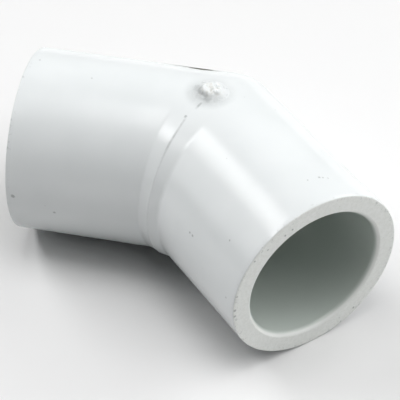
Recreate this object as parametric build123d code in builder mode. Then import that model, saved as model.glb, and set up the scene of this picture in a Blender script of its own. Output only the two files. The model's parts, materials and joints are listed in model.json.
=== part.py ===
from build123d import *
import math
import os

# White PVC pressure elbow, 45 degrees, slip socket on both ends, half-inch trade size.
# The real fitting is one moulding, so the whole object is one solid.
# It lies on its side. The two socket axes cross at the origin and lie in the XY plane.
# The left socket opens along -X. The right socket opens along +X turned 45 degrees to -Y.
# Only the left half is drawn, and the right half is its mirror image about the mitre plane.
# Lengths are in millimetres and angles in degrees.

# Driving sizes
BEND_ANGLE = 45.0
HUB_RADIUS = 13.9
CENTRE_TO_RIM = 27.9
CENTRE_TO_PIPE_STOP = 6.35
SOCKET_RADIUS = 10.695
WATERWAY_RADIUS = 7.9

# Lead-in that widens each socket at its mouth
LEAD_IN_RADIAL = 0.6
LEAD_IN_AXIAL = 0.9

# Each rim's outer edge is broken a little
RIM_EDGE_BREAK = 0.08

# Filled throat: one short band for each half, and the two meet in a crest on the mitre plane
BAND_LEAN = 7.0
BAND_UNDER_HUB = 0.1
BAND_FOOT_AT_THROAT = 7.8

# Broken-off gate on the side that faces up, on the mitre plane and a little behind the axes
GATE_TOWARDS_BACK = 0.5
GATE_BASE_RADIUS = 2.3
GATE_HEIGHT = 0.9
GATE_ROOT_DEPTH = 0.6
GATE_DRAFT = 25.0

# The mitre plane halves the angle between the hubs, and its normal points to the left half
half_bend = BEND_ANGLE / 2
to_left = Vector(-1, 0, 0).rotate(Axis.Z, -half_bend)
mitre = Plane(origin=(0, 0, 0), x_dir=(0, 0, 1), z_dir=to_left)
overrun = HUB_RADIUS

# The band is a stretch of tube almost as wide as the hub. Its axis crosses the hub's axis at
# the band's foot and leans towards the throat, so that it stands proud only in the throat.
band_to_hub = half_bend + BAND_LEAN
foot_tilt = band_to_hub / 2
foot_on_axis = BAND_FOOT_AT_THROAT - HUB_RADIUS * math.tan(math.radians(foot_tilt))
foot_point = (-foot_on_axis, 0, 0)
band_direction = Vector(1, 0, 0).rotate(Axis.Z, -band_to_hub)
band_start = Plane(origin=foot_point, x_dir=(0, 0, 1), z_dir=band_direction)
foot_normal = Vector(-1, 0, 0).rotate(Axis.Z, -foot_tilt)
foot_plane = Plane(origin=foot_point, x_dir=(0, 0, 1), z_dir=foot_normal)

with BuildPart() as left_band:
    with BuildSketch(band_start):
        Circle(HUB_RADIUS - BAND_UNDER_HUB)
    extrude(amount=overrun, both=True)
    split(bisect_by=foot_plane, keep=Keep.BOTTOM)
    split(bisect_by=mitre, keep=Keep.TOP)

# The left rim's plane faces inwards, along the socket
left_rim = Plane(origin=(-CENTRE_TO_RIM, 0, 0), x_dir=(0, 0, 1), z_dir=(1, 0, 0))
socket_depth = CENTRE_TO_RIM - CENTRE_TO_PIPE_STOP

with BuildPart() as left_hub:
    with BuildSketch(left_rim):
        Circle(HUB_RADIUS)
    extrude(amount=CENTRE_TO_RIM + overrun)
    split(bisect_by=mitre, keep=Keep.TOP)
    chamfer(left_hub.faces().sort_by(Axis.X)[0].edges(), RIM_EDGE_BREAK)

# Everything that is hollow in the left half: lead-in, socket and waterway
with BuildPart() as left_hollow:
    with BuildSketch(left_rim):
        Circle(SOCKET_RADIUS + LEAD_IN_RADIAL)
    with BuildSketch(left_rim.offset(LEAD_IN_AXIAL)):
        Circle(SOCKET_RADIUS)
    loft(ruled=True)
    with BuildSketch(left_rim):
        Circle(SOCKET_RADIUS)
    extrude(amount=socket_depth)
    with BuildSketch(left_rim):
        Circle(WATERWAY_RADIUS)
    extrude(amount=CENTRE_TO_RIM + overrun)
    split(bisect_by=mitre, keep=Keep.TOP)

with BuildPart() as hollow:
    add(left_hollow.part)
    mirror(about=mitre)

gate_x = GATE_TOWARDS_BACK * math.sin(math.radians(half_bend))
gate_y = GATE_TOWARDS_BACK * math.cos(math.radians(half_bend))

with BuildPart() as elbow_body:
    add(left_hub.part)
    add(left_band.part)
    mirror(about=mitre)
    with BuildSketch(Plane.XY.offset(HUB_RADIUS - GATE_ROOT_DEPTH)):
        with Locations((gate_x, gate_y)):
            Circle(GATE_BASE_RADIUS)
    extrude(amount=GATE_ROOT_DEPTH + GATE_HEIGHT, taper=GATE_DRAFT)
    add(hollow.part, mode=Mode.SUBTRACT)

os.makedirs("parts", exist_ok=True)
elbow_body.part.label = "elbow_body"
export_step(elbow_body.part, "parts/elbow_body.step")
print("solids", len(elbow_body.part.solids()), "valid", elbow_body.part.is_valid)
print("volume", elbow_body.part.volume, "box", elbow_body.part.bounding_box())
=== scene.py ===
"""White PVC elbow, 45 degrees, lying on its side on a pale floor under soft studio light."""
import json
import math

import bmesh
import bpy
import numpy as np
from mathutils import Matrix, Vector, noise


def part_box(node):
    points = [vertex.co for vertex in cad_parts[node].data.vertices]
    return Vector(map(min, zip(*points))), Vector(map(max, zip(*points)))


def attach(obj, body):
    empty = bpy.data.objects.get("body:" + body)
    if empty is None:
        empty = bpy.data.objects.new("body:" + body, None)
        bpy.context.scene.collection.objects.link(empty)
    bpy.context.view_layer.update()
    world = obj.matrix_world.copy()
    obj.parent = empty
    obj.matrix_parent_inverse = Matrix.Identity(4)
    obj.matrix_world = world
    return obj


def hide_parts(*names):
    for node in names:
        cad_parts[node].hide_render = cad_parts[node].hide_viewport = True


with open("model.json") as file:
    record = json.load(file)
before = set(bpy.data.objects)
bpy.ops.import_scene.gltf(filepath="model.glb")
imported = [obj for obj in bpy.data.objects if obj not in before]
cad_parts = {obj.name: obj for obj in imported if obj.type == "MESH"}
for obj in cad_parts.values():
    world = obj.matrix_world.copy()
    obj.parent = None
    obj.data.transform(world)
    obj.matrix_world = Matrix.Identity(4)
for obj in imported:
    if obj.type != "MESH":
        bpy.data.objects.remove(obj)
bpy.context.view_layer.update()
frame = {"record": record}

# ---------------------------------------------------------------------------------------------
# Sizes, in millimetres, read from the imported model
# ---------------------------------------------------------------------------------------------

MM = 0.001
record = frame["record"]
mounts = {mount["name"]: mount for mount in record["mounts"]}
body_low, body_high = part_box("elbow_body")

SKIN_INSET = 0.01
HUB_RADIUS = body_high[1] / MM - SKIN_INSET
CENTRE_TO_RIM = -body_low[0] / MM
GATE_TOP = body_high[2] / MM
SOCKET_RADIUS = mounts["left_socket"]["dims"]["r_mm"]
RIGHT_AXIS = Vector(mounts["right_socket"]["axis"])
BEND = math.atan2(-RIGHT_AXIS.y, RIGHT_AXIS.x)

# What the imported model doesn't name
CENTRE_TO_PIPE_STOP = 6.35
WATERWAY_RADIUS = 7.9
RIM_EDGE_ROUND = 0.2

# Lead-in at each socket's mouth: a rounded one that the rim's face meets at a corner
LEAD_IN_RADIAL = 0.6
LEAD_IN_AXIAL = 0.9
LEAD_IN_CORNER = math.radians(28)
MOUTH_RADIUS = SOCKET_RADIUS + LEAD_IN_RADIAL
MOUTH_LIP = 0.03

# The throat's two bands, as in the solid: a tube that leans away from the hub
BAND_RADIUS = HUB_RADIUS - 0.08
BAND_TURN = BEND / 2 + math.radians(7.0)
BAND_FOOT_AT_THROAT = 7.8
BAND_PAST_FOOT = 1.0

# Soft edges
BACK_ROUND = 1.65
LEFT_FOOT_ROUND = 0.12
RIGHT_FOOT_ROUND = 0.2
STOP_ROUND = 0.35

# Witness line of the mould, in the mitre plane: it fades in between two heights
SEAM_HEIGHT = 0.03
SEAM_WIDTH = 0.1
SEAM_START = 1.5
SEAM_FULL = 4.5

# A moulded hub isn't quite true
RIPPLE_HEIGHT = 0.004
RIPPLE_SINK = 0.012
RIPPLE_FADE = 2.0

# Grid of the skin, outside and inside
COLUMNS = 360
FAN_START = 10.0
FAN_ROWS = 56
FAN_REACH = 22.0
WATERWAY_FAN_START = 5.0
WATERWAY_FAN_ROWS = 12
WATERWAY_REACH = 11.0
HUB_ROW_STEP = 0.7
RIM_SHARES = (0.08, 0.3, 0.6, 0.9, 1.0)
ROUND_ROWS = 5
LEAD_IN_ROWS = 9
SOCKET_ROWS = 16
HALVINGS = 32

half_bend = BEND / 2
to_left = np.array([-math.cos(half_bend), math.sin(half_bend), 0.0])
to_throat = np.array([-math.sin(half_bend), -math.cos(half_bend), 0.0])
foot_tilt = BAND_TURN / 2
foot_on_axis = BAND_FOOT_AT_THROAT - HUB_RADIUS * math.tan(foot_tilt)
columns = np.linspace(0, 2 * math.pi, COLUMNS, endpoint=False)


# ---------------------------------------------------------------------------------------------
# Shape of the skin
# ---------------------------------------------------------------------------------------------

def smooth_min(a, b, k):
    """The smaller of a and b, with the corner between them filled over a width k."""
    h = np.maximum(k - np.abs(a - b), 0) / np.maximum(k, 1e-9)
    return np.minimum(a, b) - h * h * k / 4


def smooth_max(a, b, k):
    return -smooth_min(-a, -b, k)


def distance_to_axis(points, start, direction):
    """How far points lie from a line through start along a unit direction."""
    offset = points - start
    along = offset @ direction
    return np.linalg.norm(offset - along[..., None] * direction, axis=-1)


def outer_skin(points):
    """Signed distance, roughly, from the outside of the elbow: negative inside."""
    side = points @ to_left
    left = points - 2 * np.minimum(side, 0)[..., None] * to_left
    height = left @ to_throat
    own_hub = distance_to_axis(left, np.zeros(3), np.array([-1.0, 0, 0])) - HUB_RADIUS
    other_hub = distance_to_axis(left, np.zeros(3), np.array(RIGHT_AXIS)) - HUB_RADIUS
    backness = np.clip(-height / HUB_RADIUS, 0, 1) ** 2
    hubs = np.where(height < 0, smooth_max(own_hub, other_hub, BACK_ROUND * backness), own_hub)

    foot = np.array([-foot_on_axis, 0, 0])
    band_axis = np.array([math.cos(BAND_TURN), -math.sin(BAND_TURN), 0.0])
    band = distance_to_axis(left, foot, band_axis) - BAND_RADIUS
    foot_normal = np.array([-math.cos(foot_tilt), math.sin(foot_tilt), 0.0])
    throatness = np.clip(height / HUB_RADIUS, 0, 1)
    past_foot = (left - foot) @ foot_normal - BAND_PAST_FOOT * throatness
    band = np.maximum(band, past_foot)
    softness = np.where(side > 0, LEFT_FOOT_ROUND, RIGHT_FOOT_ROUND) * throatness
    skin = smooth_min(hubs, band, softness)
    seam = SEAM_HEIGHT * np.clip((height - SEAM_START) / (SEAM_FULL - SEAM_START), 0, 1)
    return skin - seam * np.exp(-((side / SEAM_WIDTH) ** 2))


def waterway(points):
    """Signed distance from the wall of the waterway: negative in the opening."""
    side = points @ to_left
    left = points - 2 * np.minimum(side, 0)[..., None] * to_left
    return distance_to_axis(left, np.zeros(3), np.array([-1.0, 0, 0])) - WATERWAY_RADIUS


def ring_frame(turn):
    """Unit vector towards the back of the bend, for a ring turned by this angle."""
    return np.array([math.sin(turn), math.cos(turn), 0.0])


def ring(centre, turn, radius):
    """Points of one ring. radius is a number or one value for each column."""
    back = ring_frame(turn)
    up = np.array([0, 0, 1.0])
    rays = np.cos(columns)[:, None] * up + np.sin(columns)[:, None] * back
    return np.asarray(centre) + np.asarray(radius).reshape(-1, 1) * rays


def cast(centre, turn, surface, reach):
    """One ring where the surface is met, looking outwards from the centre."""
    low = np.zeros(COLUMNS)
    high = np.full(COLUMNS, reach)
    for _ in range(HALVINGS):
        middle = (low + high) / 2
        inside = surface(ring(centre, turn, middle)) < 0
        low = np.where(inside, middle, low)
        high = np.where(inside, high, middle)
    return ring(centre, turn, (low + high) / 2)


def hub_centre(side, along):
    """Point on a socket's axis: side -1 is the left socket and +1 the right."""
    direction = np.array([-1.0, 0, 0]) if side < 0 else np.array(RIGHT_AXIS)
    return along * direction


def hub_turn(side):
    return 0.0 if side < 0 else BEND


def fan(start, rows, surface, reach):
    """Rings that fan round the bend between the two hubs, from left to right."""
    bend_radius = start / math.tan(half_bend)
    pivot = np.array([-start, -bend_radius, 0.0])
    rings = []
    for turn in np.linspace(0, BEND, 2 * rows + 1):
        centre = pivot + bend_radius * ring_frame(turn)
        rings.append(cast(centre, turn, surface, reach))
    return rings


def ripple(along, side):
    """How far the hub swells or sinks round one ring: a little under a hundredth."""
    wave = np.sin(2 * columns + 0.35 * along + side) + 0.6 * np.sin(3 * columns - 0.22 * along)
    return RIPPLE_HEIGHT * wave


def outer_hub(side):
    """Rings from the rim's outer edge to where the fan starts."""
    rings = []
    for step in np.linspace(0, math.pi / 2, ROUND_ROWS):
        along = CENTRE_TO_RIM - RIM_EDGE_ROUND * (1 - math.cos(step))
        radius = HUB_RADIUS - RIM_EDGE_ROUND * (1 - math.sin(step))
        rings.append(ring(hub_centre(side, along), hub_turn(side), radius))
    first = CENTRE_TO_RIM - RIM_EDGE_ROUND
    count = int((first - FAN_START) / HUB_ROW_STEP)
    for along in np.linspace(first, FAN_START, count + 1)[1:-1]:
        fade = min(1.0, (first - along) / RIPPLE_FADE, (along - FAN_START) / RIPPLE_FADE)
        radius = HUB_RADIUS + fade * (ripple(along, side) - RIPPLE_SINK)
        rings.append(ring(hub_centre(side, along), hub_turn(side), radius))
    return rings


def rim_and_bore(side):
    """Rings from the rim's face, over the lead-in, down the socket and into the waterway."""
    profile = []
    outer = HUB_RADIUS - RIM_EDGE_ROUND
    for share in RIM_SHARES:
        profile.append((CENTRE_TO_RIM, outer + share * (MOUTH_RADIUS + MOUTH_LIP - outer)))
    for step in np.linspace(LEAD_IN_CORNER, math.pi / 2, LEAD_IN_ROWS):
        depth = (math.cos(LEAD_IN_CORNER) - math.cos(step)) / math.cos(LEAD_IN_CORNER)
        inset = (1 - math.sin(step)) / (1 - math.sin(LEAD_IN_CORNER))
        profile.append((CENTRE_TO_RIM - depth * LEAD_IN_AXIAL, SOCKET_RADIUS + inset * LEAD_IN_RADIAL))
    deepest = CENTRE_TO_PIPE_STOP
    top = CENTRE_TO_RIM - LEAD_IN_AXIAL
    for share in np.linspace(0, 1, SOCKET_ROWS)[1:]:
        profile.append((top + share * (deepest + STOP_ROUND - top), SOCKET_RADIUS))
    for step in np.linspace(0, math.pi / 2, ROUND_ROWS)[1:]:
        along = deepest + STOP_ROUND * (1 - math.sin(step))
        profile.append((along, SOCKET_RADIUS - STOP_ROUND * (1 - math.cos(step))))
    profile.append((deepest, (SOCKET_RADIUS + WATERWAY_RADIUS) / 2))
    for step in np.linspace(0, math.pi / 2, ROUND_ROWS):
        along = deepest - STOP_ROUND * (1 - math.cos(step))
        profile.append((along, WATERWAY_RADIUS + STOP_ROUND * (1 - math.sin(step))))
    return [ring(hub_centre(side, along), hub_turn(side), radius) for along, radius in profile]


def skin_mesh():
    """One closed grid: out along the left hub, over the bend, and back through the bore."""
    bend = fan(FAN_START, FAN_ROWS, outer_skin, FAN_REACH)
    mitre = fan(WATERWAY_FAN_START, WATERWAY_FAN_ROWS, waterway, WATERWAY_REACH)
    outside = outer_hub(-1) + bend + outer_hub(1)[::-1]
    inside = rim_and_bore(1) + mitre[::-1] + rim_and_bore(-1)[::-1]
    rings = outside + inside
    points = np.concatenate(rings) * MM
    count = len(rings)
    faces = []
    for row in range(count):
        after = (row + 1) % count
        for column in range(COLUMNS):
            beside = (column + 1) % COLUMNS
            faces.append((
                row * COLUMNS + column,
                row * COLUMNS + beside,
                after * COLUMNS + beside,
                after * COLUMNS + column,
            ))
    mesh = bpy.data.meshes.new("elbow_skin")
    mesh.from_pydata(points.tolist(), [], faces)
    mesh.validate()
    return mesh


def finish_mesh(mesh):
    """Outward normals and smooth shading."""
    work = bmesh.new()
    work.from_mesh(mesh)
    bmesh.ops.recalc_face_normals(work, faces=work.faces)
    work.to_mesh(mesh)
    work.free()
    mesh.shade_smooth()
    mesh.update()


def add_piece(name, mesh, material):
    piece = bpy.data.objects.new(name, mesh)
    bpy.context.scene.collection.objects.link(piece)
    mesh.materials.append(material)
    return piece


# ---------------------------------------------------------------------------------------------
# Broken-off gate
# ---------------------------------------------------------------------------------------------

GATE_TOWARDS_BACK = 0.5
GATE_SKIRT_RADIUS = 2.85
GATE_SKIRT_RISE = 0.56
GATE_STUB_RADIUS = 1.45
GATE_WALL = 0.75
GATE_EDGE_SINK = 0.02
GATE_FOOT_DEPTH = 0.5
GATE_CORE_DEPTH = 0.8
GATE_RINGS = 48
GATE_SPOKES = 96

# The stub: its mean height, the lumps' and the grains' heights, and how ragged its edge is
STUB_HEIGHT = 0.4
STUB_LUMPS = 0.3
STUB_GRAINS = 0.06
STUB_RAGGED = 0.3

# Dents in the stub: depth, middle and half widths
STUB_DENTS = [
    (0.3, 0.1, -0.75, 0.35, 0.5),
    (0.2, 0.95, 0.1, 0.3, 0.25),
]


def skin_height(x, y):
    """Height of the skin above the XY plane, on the side that faces up."""
    low, high = np.zeros_like(x), np.full_like(x, HUB_RADIUS + 2)
    for _ in range(HALVINGS):
        middle = (low + high) / 2
        inside = outer_skin(np.stack([x, y, middle], axis=-1)) < 0
        low = np.where(inside, middle, low)
        high = np.where(inside, high, middle)
    return (low + high) / 2


def torn(x, y, grain):
    """Ragged plastic, between -1 and 1, with lumps about a grain across."""
    return noise.fractal(Vector((x / grain, y / grain, 3.7)), 0.9, 2.1, 4)


def gate_rise(x, y):
    """How far the gate stands above the skin: a smooth skirt with a ragged stub on it."""
    radius = math.hypot(x, y)
    angle = math.atan2(y, x)
    edge = GATE_STUB_RADIUS * (1 + STUB_RAGGED * torn(math.cos(angle), math.sin(angle), 0.9))
    wall = min(max((edge + GATE_WALL / 2 - radius) / GATE_WALL, 0), 1)
    wall = wall * wall * (3 - 2 * wall)
    skirt = max(1 - (radius / GATE_SKIRT_RADIUS) ** 2, 0)
    stub = STUB_HEIGHT + STUB_LUMPS * torn(x, y, 1.0) + STUB_GRAINS * torn(x, y, 0.4)
    for depth, dent_x, dent_y, half_x, half_y in STUB_DENTS:
        stub -= depth * math.exp(-(((x - dent_x) / half_x) ** 2 + ((y - dent_y) / half_y) ** 2))
    return GATE_SKIRT_RISE * skirt ** 1.5 + wall * stub


def gate_mesh():
    """A ragged stub on a low skirt that runs into the skin, closed underneath."""
    rows = []
    gate_centre = -GATE_TOWARDS_BACK * to_throat
    angles = np.linspace(0, 2 * math.pi, GATE_SPOKES, endpoint=False)
    for share in np.linspace(0, 1, GATE_RINGS + 1)[1:]:
        radius = GATE_SKIRT_RADIUS * share
        x, y = radius * np.cos(angles), radius * np.sin(angles)
        rise = np.array([gate_rise(px, py) for px, py in zip(x, y)])
        x, y = x + gate_centre[0], y + gate_centre[1]
        z = np.minimum(skin_height(x, y) + rise - GATE_EDGE_SINK * share ** 8, GATE_TOP)
        rows.append(np.stack([x, y, z], axis=-1))
    rows.append(gate_centre + (rows[-1] - gate_centre) * [0.9, 0.9, 1] - [0, 0, GATE_FOOT_DEPTH])
    centre_top = gate_centre + [0, 0, min(HUB_RADIUS + gate_rise(0, 0), GATE_TOP)]
    centre_foot = gate_centre + [0, 0, HUB_RADIUS - GATE_CORE_DEPTH]
    points = np.concatenate(rows + [np.array([centre_top, centre_foot])]) * MM
    top, foot = len(points) - 2, len(points) - 1
    last = (len(rows) - 1) * GATE_SPOKES
    faces = []
    for spoke in range(GATE_SPOKES):
        beside = (spoke + 1) % GATE_SPOKES
        faces.append((top, spoke, beside))
        faces.append((foot, last + beside, last + spoke))
        for row in range(len(rows) - 1):
            near, far = row * GATE_SPOKES, (row + 1) * GATE_SPOKES
            faces.append((near + spoke, far + spoke, far + beside, near + beside))
    mesh = bpy.data.meshes.new("gate")
    mesh.from_pydata(points.tolist(), [], faces)
    return mesh


# ---------------------------------------------------------------------------------------------
# White PVC
# ---------------------------------------------------------------------------------------------

class Nodes:
    """Short hand for building a material's node tree. Texture coordinates are in millimetres."""

    def __init__(self, name):
        self.material = bpy.data.materials.new(name)
        self.material.use_nodes = True
        self.tree = self.material.node_tree
        self.shader = self.tree.nodes["Principled BSDF"]
        place = self.add("ShaderNodeTexCoord").outputs["Object"]
        self.place = self.vector("SCALE", place, scale=1 / MM)

    def add(self, kind, **settings):
        node = self.tree.nodes.new(kind)
        for key, value in settings.items():
            setattr(node, key, value)
        return node

    def put(self, socket, value):
        if isinstance(value, bpy.types.NodeSocket):
            self.tree.links.new(value, socket)
        else:
            socket.default_value = value

    def math(self, operation, a, b=0.0, c=0.0, clamp=False):
        node = self.add("ShaderNodeMath", operation=operation, use_clamp=clamp)
        for socket, value in zip(node.inputs, (a, b, c)):
            self.put(socket, value)
        return node.outputs[0]

    def vector(self, operation, a, b=(0, 0, 0), scale=1.0):
        node = self.add("ShaderNodeVectorMath", operation=operation)
        self.put(node.inputs[0], a)
        if operation == "SCALE":
            self.put(node.inputs["Scale"], scale)
        else:
            self.put(node.inputs[1], b)
        return node.outputs["Value" if operation in ("DOT_PRODUCT", "LENGTH", "DISTANCE") else "Vector"]

    def noise(self, scale, detail=2.0, place=None, roughness=0.5):
        node = self.add("ShaderNodeTexNoise")
        self.put(node.inputs["Vector"], place or self.place)
        self.put(node.inputs["Scale"], scale)
        self.put(node.inputs["Detail"], detail)
        self.put(node.inputs["Roughness"], roughness)
        return node.outputs["Fac"]

    def ramp(self, value, low, high, out_low=0.0, out_high=1.0):
        node = self.add("ShaderNodeMapRange", interpolation_type="SMOOTHSTEP")
        for key, amount in (("Value", value), ("From Min", low), ("From Max", high),
                            ("To Min", out_low), ("To Max", out_high)):
            self.put(node.inputs[key], amount)
        return node.outputs["Result"]

    def mix(self, share, a, b):
        node = self.add("ShaderNodeMix", data_type="RGBA")
        self.put(node.inputs["Factor"], share)
        self.put(node.inputs["A"], a)
        self.put(node.inputs["B"], b)
        return node.outputs["Result"]

    def bump(self, height, depth_mm, under=None):
        node = self.add("ShaderNodeBump")
        self.put(node.inputs["Strength"], 1.0)
        self.put(node.inputs["Distance"], depth_mm * MM)
        self.put(node.inputs["Height"], height)
        if under is not None:
            self.put(node.inputs["Normal"], under)
        return node.outputs["Normal"]


PVC_LIGHT = (0.797, 0.825, 0.83, 1)
PVC_DULL = (0.765, 0.795, 0.80, 1)
PVC_UNDERSIDE_SHADE = (0.50, 0.53, 0.53, 1)
PVC_BORE_SHADE = (0.53, 0.58, 0.545, 1)
RIM_LIGHT = (0.84, 0.86, 0.835, 1)
RIM_DARK = (0.775, 0.795, 0.765, 1)
TORN_DULL = (0.74, 0.74, 0.71, 1)
PVC_GRIME_AND_SHADE = (0.30, 0.32, 0.32, 1)
FLOOR_PALE = (0.8, 0.8, 0.8, 1)
PVC_ROUGHNESS = 0.23
ROUGHNESS_SPREAD = 0.03
DIRT_ROUGHNESS = 0.3
DARK_STREAK_ROUGHNESS = 0.6
SKIRT_SMOOTHER = 0.15
PVC_IOR = 1.53

# Depths of the bumps, in millimetres
WAVE_DEPTH = 0.05
PEEL_DEPTH = 0.0012
TOOL_MARK_DEPTH = 0.02
TORN_DEPTH = 0.01


def skin_point(side, along, angle, radius=HUB_RADIUS):
    """Point on a hub: along from the bend, angle in degrees from the top towards the throat."""
    turn = hub_turn(side)
    lean = math.radians(angle)
    out = math.cos(lean) * np.array([0, 0, 1.0]) - math.sin(lean) * ring_frame(turn)
    return hub_centre(side, along) + radius * out


# Specks of dirt from handling: hub, distance from the bend, angle and size
SPECKS = [
    (-1, 26.8, 87, 0.28),
    (-1, 20.6, 96, 0.22),
    (-1, 17.6, 1, 0.13),
    (-1, 26.4, -10, 0.16),
    (-1, 8.4, -30, 0.14),
    (1, 15.9, 69, 0.20),
    (1, 15.2, 69, 0.17),
    (1, 22.5, 52, 0.14),
    (1, 22.9, -7, 0.10),
    (1, 23.0, -15, 0.18),
    (1, 23.2, -17, 0.14),
    (1, 23.5, -20, 0.11),
    (1, 6.4, -32, 0.15),
    (1, 12.4, -40, 0.12),
    (1, 16.9, -37, 0.14),
    (1, 25.9, 83, 0.14),
]

# Dark streaks: hub, distance from the bend, angle, half the length, half the width and strength
DARK_STREAKS = [
    (-1, 2.9, -34.0, 3.3, 1.25, 0.97),
    (-1, 5.6, -35.5, 4.4, 0.95, 0.6),
]
DARK_STREAK_COLOUR = (0.045, 0.045, 0.022, 1)

# A dot of dirt on the witness line: hub, distance from the bend, angle, distance from the axis
SEAM_DOT = (-1, 2.3, 21, HUB_RADIUS + 0.38)
SEAM_DOT_SIZE = 0.22

# Knocks on the right rim: angle, distance from the axis and size
RIM_MARKS = [
    (20, 12.2, 0.13),
    (26, 12.2, 0.16),
    (40, 12.7, 0.13),
    (50, 13.5, 0.15),
    (76, 13.6, 0.13),
    (87, 13.6, 0.20),
    (92, 13.6, 0.20),
    (-147, 13.1, 0.20),
]


def round_gate(nodes):
    """Distance from the gate's middle, how far towards the throat, and the painted shade round it."""
    from_centre = nodes.vector("ADD", nodes.place, tuple(GATE_TOWARDS_BACK * to_throat))
    flat = nodes.vector("MULTIPLY", from_centre, (1, 1, 0))
    from_middle = nodes.vector("LENGTH", flat)
    towards = nodes.vector("DOT_PRODUCT", flat, (-0.42, -0.91, 0))
    shade_halo = nodes.math("MULTIPLY", nodes.ramp(from_middle, 1.3, 2.5),
                      nodes.ramp(from_middle, 2.3, 4.3, 0.28, 0.0))
    shade_halo = nodes.math("MULTIPLY", shade_halo, nodes.ramp(towards, -2.5, 2.5, 0.55, 1.25))
    blotch = nodes.ramp(nodes.noise(0.9, detail=3.0), 0.35, 0.65, 0.75, 1.15)
    return from_middle, towards, nodes.math("MULTIPLY", shade_halo, blotch)


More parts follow.
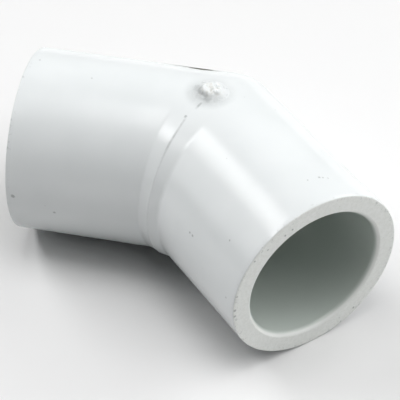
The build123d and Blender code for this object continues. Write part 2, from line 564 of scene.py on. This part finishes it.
def pvc_material():
    pvc = Nodes("white_pvc")
    cloud = pvc.noise(0.09, detail=3.0)
    colour = pvc.mix(pvc.ramp(cloud, 0.35, 0.7), PVC_LIGHT, PVC_DULL)

    # The underside is painted darker towards the floor, as painted shade
    up = pvc.vector("DOT_PRODUCT", pvc.place, (0, 0, 1))
    colour = pvc.mix(pvc.ramp(up, -8.0, -1.0, 0.75, 0.0), colour, PVC_UNDERSIDE_SHADE)

    # The mouth's lead-in is like the rim, and the bore inside it is painted darker than the skin, as
    # painted shade
    side = pvc.vector("DOT_PRODUCT", pvc.place, tuple(to_left))
    height = pvc.vector("DOT_PRODUCT", pvc.place, tuple(to_throat))
    mirrored = pvc.math("MULTIPLY", pvc.math("MINIMUM", side, 0.0), -2.0)
    on_side = pvc.vector("ADD", pvc.place, pvc.vector("SCALE", tuple(to_left), scale=mirrored))
    from_axis = pvc.vector("LENGTH", pvc.vector("MULTIPLY", on_side, (0, 1, 1)))
    in_mouth = pvc.ramp(from_axis, MOUTH_RADIUS + 0.1, MOUTH_RADIUS + 0.4, 1.0, 0.0)
    colour = pvc.mix(in_mouth, colour, RIM_LIGHT)
    in_bore = pvc.ramp(from_axis, SOCKET_RADIUS + 0.02, SOCKET_RADIUS + 0.35, 1.0, 0.0)
    colour = pvc.mix(in_bore, colour, PVC_BORE_SHADE)

    # The rims' faces are matt and faintly grainy
    from_rim = pvc.math("ADD", pvc.vector("DOT_PRODUCT", on_side, (1, 0, 0)), CENTRE_TO_RIM)
    on_rim = pvc.ramp(pvc.math("ABSOLUTE", from_rim), 0.03, 0.12, 1.0, 0.0)
    grain = pvc.ramp(pvc.noise(1.9, detail=5.0, roughness=0.7), 0.35, 0.65)
    colour = pvc.mix(on_rim, colour, pvc.mix(grain, RIM_DARK, RIM_LIGHT))

    # Fine specks in the resin, thinly scattered
    grains = pvc.add("ShaderNodeTexVoronoi", feature="F1")
    pvc.put(grains.inputs["Vector"], pvc.place)
    pvc.put(grains.inputs["Scale"], 0.42)
    speck = pvc.ramp(grains.outputs["Distance"], 0.03, 0.06, 1.0, 0.0)
    speck = pvc.math("MULTIPLY", speck, pvc.ramp(pvc.noise(0.2), 0.5, 0.6, 0.0, 0.45))

    # Dirt where it was handled
    spots = [(skin_point(*SEAM_DOT), SEAM_DOT_SIZE)]
    spots += [(skin_point(hub, along, angle), size) for hub, along, angle, size in SPECKS]
    for angle, radius, size in RIM_MARKS:
        spots.append((skin_point(1, CENTRE_TO_RIM, angle, radius), size))
    wobble = pvc.math("MULTIPLY", pvc.noise(3.0), 0.25)
    for centre, size in spots:
        edge = pvc.math("ADD", pvc.vector("DISTANCE", pvc.place, tuple(centre)), wobble)
        spot = pvc.ramp(edge, size * 0.7 + 0.1, size * 1.5 + 0.12, 0.7, 0.0)
        speck = pvc.math("MAXIMUM", speck, spot)

    # Scuffs along the rims' outer edges
    at_edge = pvc.math("MULTIPLY", pvc.ramp(from_rim, 0.1, 0.9, 1.0, 0.0),
                       pvc.ramp(from_axis, HUB_RADIUS - 1.1, HUB_RADIUS - 0.3))
    scuffs = pvc.ramp(pvc.noise(1.7, detail=4.0, roughness=0.65), 0.56, 0.66, 0.0, 0.4)
    speck = pvc.math("MAXIMUM", speck, pvc.math("MULTIPLY", at_edge, scuffs))

    # Witness line on the mitre plane: dirt settles on it, on the throat's side of the gate
    wander = pvc.ramp(height, 4.2, 5.2, 0.3, 0.0)
    line = pvc.ramp(pvc.math("ABSOLUTE", pvc.math("ADD", side, wander)), 0.08, 0.26, 1.0, 0.0)
    by_gate = pvc.ramp(height, 3.1, 4.0, 0.8, 0.0)
    below = pvc.math("MULTIPLY", pvc.ramp(height, 5.6, 6.3), pvc.ramp(height, 11.0, 13.2, 0.5, 0.08))
    settled = pvc.math("MULTIPLY", pvc.math("MAXIMUM", by_gate, below), pvc.ramp(height, 2.0, 2.6))
    patchy = pvc.ramp(pvc.noise(0.7, detail=3.0), 0.3, 0.6, 0.55, 1.0)
    line = pvc.math("MULTIPLY", pvc.math("MULTIPLY", line, patchy), settled)
    dirt_and_shade = pvc.math("MAXIMUM", speck, line)
    colour = pvc.mix(dirt_and_shade, colour, PVC_GRIME_AND_SHADE)

    # Painted shade round the gate, on the side that faces up
    shade_halo = pvc.math("MULTIPLY", round_gate(pvc)[2], pvc.ramp(up, 0.0, 4.0))
    colour = pvc.mix(shade_halo, colour, PVC_GRIME_AND_SHADE)

    # A streaky dark mark along the back of the left hub, beside the bend
    streaks = pvc.noise(1.0, detail=3.0, place=pvc.vector("MULTIPLY", pvc.place, (0.3, 1.9, 1.9)))
    ragged = pvc.ramp(streaks, 0.3, 0.7, 0.35, -0.2)
    streaked = 0.0
    for hub, along, angle, half_length, half_width, strength in DARK_STREAKS:
        off = pvc.vector("SUBTRACT", pvc.place, tuple(skin_point(hub, along, angle)))
        off = pvc.vector("MULTIPLY", off, (1 / half_length, 1 / half_width, 1 / half_width))
        reach = pvc.math("ADD", pvc.vector("LENGTH", off), ragged)
        streaked = pvc.math("MAXIMUM", pvc.ramp(reach, 0.4, 1.1, strength, 0.0), streaked)
    colour = pvc.mix(streaked, colour, DARK_STREAK_COLOUR)
    pvc.put(pvc.shader.inputs["Base Color"], colour)

    # Polished here and handled dull there, and matt on the rims and where it's dirty
    worn = pvc.ramp(pvc.noise(0.25, detail=4.0, roughness=0.6), 0.3, 0.75,
                    PVC_ROUGHNESS - ROUGHNESS_SPREAD, PVC_ROUGHNESS + ROUGHNESS_SPREAD)
    matt = pvc.math("MULTIPLY", pvc.math("MAXIMUM", dirt_and_shade, on_rim), DIRT_ROUGHNESS)
    rough = pvc.math("ADD", worn, matt)
    rough = pvc.math("ADD", rough, pvc.math("MULTIPLY", streaked, DARK_STREAK_ROUGHNESS))
    pvc.put(pvc.shader.inputs["Roughness"], rough)
    pvc.shader.inputs["IOR"].default_value = PVC_IOR

    # Moulded surface: shallow waves, a fine peel, and tool marks across the throat's bands
    normal = pvc.bump(pvc.noise(0.16, detail=1.0), WAVE_DEPTH)
    normal = pvc.bump(pvc.noise(1.6, detail=2.0), PEEL_DEPTH, normal)
    squeezed = pvc.vector("MULTIPLY", pvc.place, (1.0, 1.0, 0.12))
    marks = pvc.noise(2.6, detail=3.0, place=squeezed)
    in_throat = pvc.math("MULTIPLY", pvc.ramp(height, 11.0, 14.0),
                         pvc.ramp(pvc.math("ABSOLUTE", side), 1.5, 3.5, 1.0, 0.0))
    normal = pvc.bump(pvc.math("MULTIPLY", marks, in_throat), TOOL_MARK_DEPTH, normal)
    pvc.put(pvc.shader.inputs["Normal"], normal)
    return pvc.material


def torn_material():
    torn_pvc = Nodes("torn_pvc")
    patch = torn_pvc.noise(1.4, detail=4.0)
    colour = torn_pvc.mix(torn_pvc.ramp(patch, 0.4, 0.7), PVC_LIGHT, TORN_DULL)

    # Out on the skirt the plastic is as smooth as the skin
    from_middle, towards, shade_halo = round_gate(torn_pvc)
    on_skirt = torn_pvc.ramp(from_middle, GATE_STUB_RADIUS + 0.1, GATE_SKIRT_RADIUS - 0.6)
    colour = torn_pvc.mix(on_skirt, colour, PVC_LIGHT)

    # Painted shade round the foot of the stub, most of all on the throat's side
    shade_ring = torn_pvc.math("MULTIPLY", torn_pvc.ramp(from_middle, 0.9, 1.6),
                                 torn_pvc.ramp(from_middle, 1.9, 2.85, 1.0, 0.0))
    shaded_side = torn_pvc.ramp(towards, -0.6, 1.7, 0.03, 0.5)
    blotch = torn_pvc.ramp(torn_pvc.noise(0.9, detail=3.0), 0.35, 0.6, 0.5, 1.0)
    dirt_and_shade = torn_pvc.math("MULTIPLY", torn_pvc.math("MULTIPLY", shade_ring, shaded_side), blotch)
    dirt_and_shade = torn_pvc.math("ADD", dirt_and_shade, shade_halo)
    torn_pvc.put(torn_pvc.shader.inputs["Base Color"], torn_pvc.mix(dirt_and_shade, colour, PVC_GRIME_AND_SHADE))
    rough = torn_pvc.ramp(patch, 0.3, 0.7, 0.35, 0.6)
    rough = torn_pvc.math("ADD", rough, torn_pvc.math("MULTIPLY", on_skirt, -SKIRT_SMOOTHER))
    torn_pvc.put(torn_pvc.shader.inputs["Roughness"], rough)
    torn_pvc.shader.inputs["IOR"].default_value = PVC_IOR
    grain = torn_pvc.noise(3.0, detail=3.0)
    torn_pvc.put(torn_pvc.shader.inputs["Normal"], torn_pvc.bump(grain, TORN_DEPTH))
    return torn_pvc.material


mesh = skin_mesh()
finish_mesh(mesh)
elbow = add_piece("elbow_moulding", mesh, pvc_material())

mesh = gate_mesh()
finish_mesh(mesh)
gate = add_piece("broken_gate", mesh, torn_material())

for piece in (elbow, gate):
    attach(piece, "root")
    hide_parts("elbow_body")

# ---------------------------------------------------------------------------------------------
# Camera, floor and lights
# ---------------------------------------------------------------------------------------------

CAMERA_AIM = Vector((0.0003, -0.0082, 0.0))
CAMERA_DISTANCE = 0.2732
CAMERA_AZIMUTH = math.radians(-76.16)
CAMERA_ELEVATION = math.radians(44.26)
CAMERA_ROLL = math.radians(-1.33)
LENS_MM = 166.4
FLOOR_SIZE = 3.0


def direction(azimuth, elevation):
    return Vector((
        math.cos(elevation) * math.cos(azimuth),
        math.cos(elevation) * math.sin(azimuth),
        math.sin(elevation),
    ))


def facing(place, aim, roll=0.0):
    """Matrix of something at place that looks at aim along its own -Z."""
    turn = (aim - place).to_track_quat("-Z", "Y").to_matrix().to_4x4()
    return Matrix.Translation(place) @ turn @ Matrix.Rotation(roll, 4, "Z")


camera_data = bpy.data.cameras.new("camera")
camera_data.lens = LENS_MM
camera_data.clip_start = 0.01
camera = bpy.data.objects.new("camera", camera_data)
bpy.context.scene.collection.objects.link(camera)
camera_place = CAMERA_AIM + CAMERA_DISTANCE * direction(CAMERA_AZIMUTH, CAMERA_ELEVATION)
camera.matrix_world = facing(camera_place, CAMERA_AIM, CAMERA_ROLL)
bpy.context.scene.camera = camera

bpy.ops.mesh.primitive_plane_add(size=FLOOR_SIZE, location=(0, 0, body_low[2]))
floor = bpy.context.object
floor.name = "floor"
floor_material = bpy.data.materials.new("floor_pale")
floor_material.use_nodes = True
floor_shader = floor_material.node_tree.nodes["Principled BSDF"]
floor_shader.inputs["Base Color"].default_value = FLOOR_PALE
floor.data.materials.append(floor_material)

# Soft lights round the part: name, azimuth and elevation, width and height in metres, watts
LIGHT_DISTANCE = 0.8
LIGHTS = [
    ("overhead", 0, 89, 0.40, 0.40, 2.1),
    ("right_back_low", 45, 25, 0.90, 0.50, 2.25),
    ("right_back_high", 20, 40, 0.90, 0.60, 3.15),
    ("front_high", 330, 60, 0.60, 0.60, 1.5),
    ("left_low", 180, 25, 0.35, 0.35, 0.52),
    ("left_window", 166, 52, 0.43, 0.14, 1.08),
    ("left_window_end", 182, 52, 0.16, 0.14, 0.3),
    ("left_high", 206, 60, 0.20, 0.20, 0.25),
    ("left_back", 150, 38, 0.30, 0.14, 1.4),
]
for name, azimuth, elevation, width, height, power in LIGHTS:
    light_data = bpy.data.lights.new(name, "AREA")
    light_data.shape = "RECTANGLE"
    light_data.size = width
    light_data.size_y = height
    light_data.energy = power
    light = bpy.data.objects.new(name, light_data)
    bpy.context.scene.collection.objects.link(light)
    place = LIGHT_DISTANCE * direction(math.radians(azimuth), math.radians(elevation))
    light.matrix_world = facing(place, Vector((0, 0, 0)))

world = bpy.data.worlds.new("studio")
bpy.context.scene.world = world
world.use_nodes = True
world.node_tree.nodes["Background"].inputs["Strength"].default_value = 0.0
bpy.context.scene.view_settings.view_transform = "Standard"
